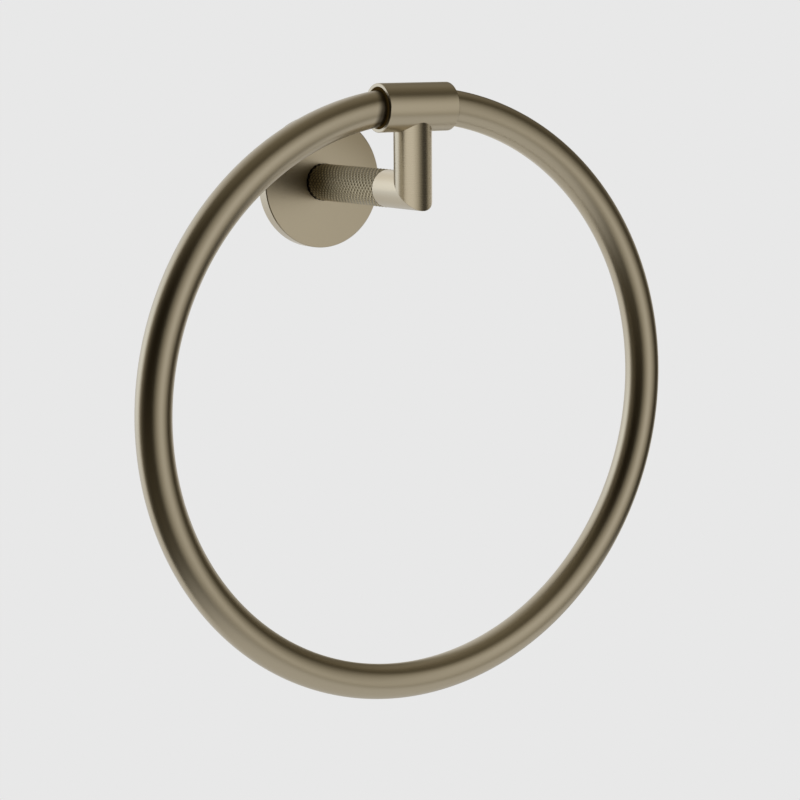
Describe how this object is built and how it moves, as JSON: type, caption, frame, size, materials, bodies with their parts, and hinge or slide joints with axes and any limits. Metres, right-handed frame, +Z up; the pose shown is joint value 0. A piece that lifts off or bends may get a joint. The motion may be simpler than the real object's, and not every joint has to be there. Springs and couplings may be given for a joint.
{
  "type": "towel ring",
  "caption": "Wall-mounted towel ring: a closed round bar swings in a tube sleeve, carried by a mitred elbow, a knurled post and a round wall plate.",
  "frame": {"origin": "on the wall plane, on the axis of the post, midway between the two wall screws", "axes": "+Y points into the wall, so the object stands out towards -Y; +Z is up; +X is along the sleeve"},
  "size_m": [0.208, 0.0716, 0.2094],
  "materials": {
    "satin_nickel": "fine brushed satin nickel, warm grey",
    "knurled_nickel": "diamond knurled satin nickel, warm grey",
    "zinc_plate": "zinc plated steel",
    "dark_steel": "black oxide steel"
  },
  "bodies": {
    "fixture": {"wall_bracket": "zinc_plate", "wall_plate": "satin_nickel", "plate_set_screw": "dark_steel", "post_screw": "zinc_plate", "locating_pin": "zinc_plate", "knurled_post": "knurled_nickel", "joining_stud": "zinc_plate", "arm_stub": "satin_nickel", "riser": "satin_nickel", "ring_sleeve": "satin_nickel"},
    "ring": {"ring": "satin_nickel"}
  },
  "joints": [
    {"name": "ring_swing", "type": "hinge", "parent": "fixture", "child": "ring", "pos_m": [0, -0.0635, 0.0277], "axis": [-1, 0, 0], "range_deg": [-17, 197]}
  ]
}
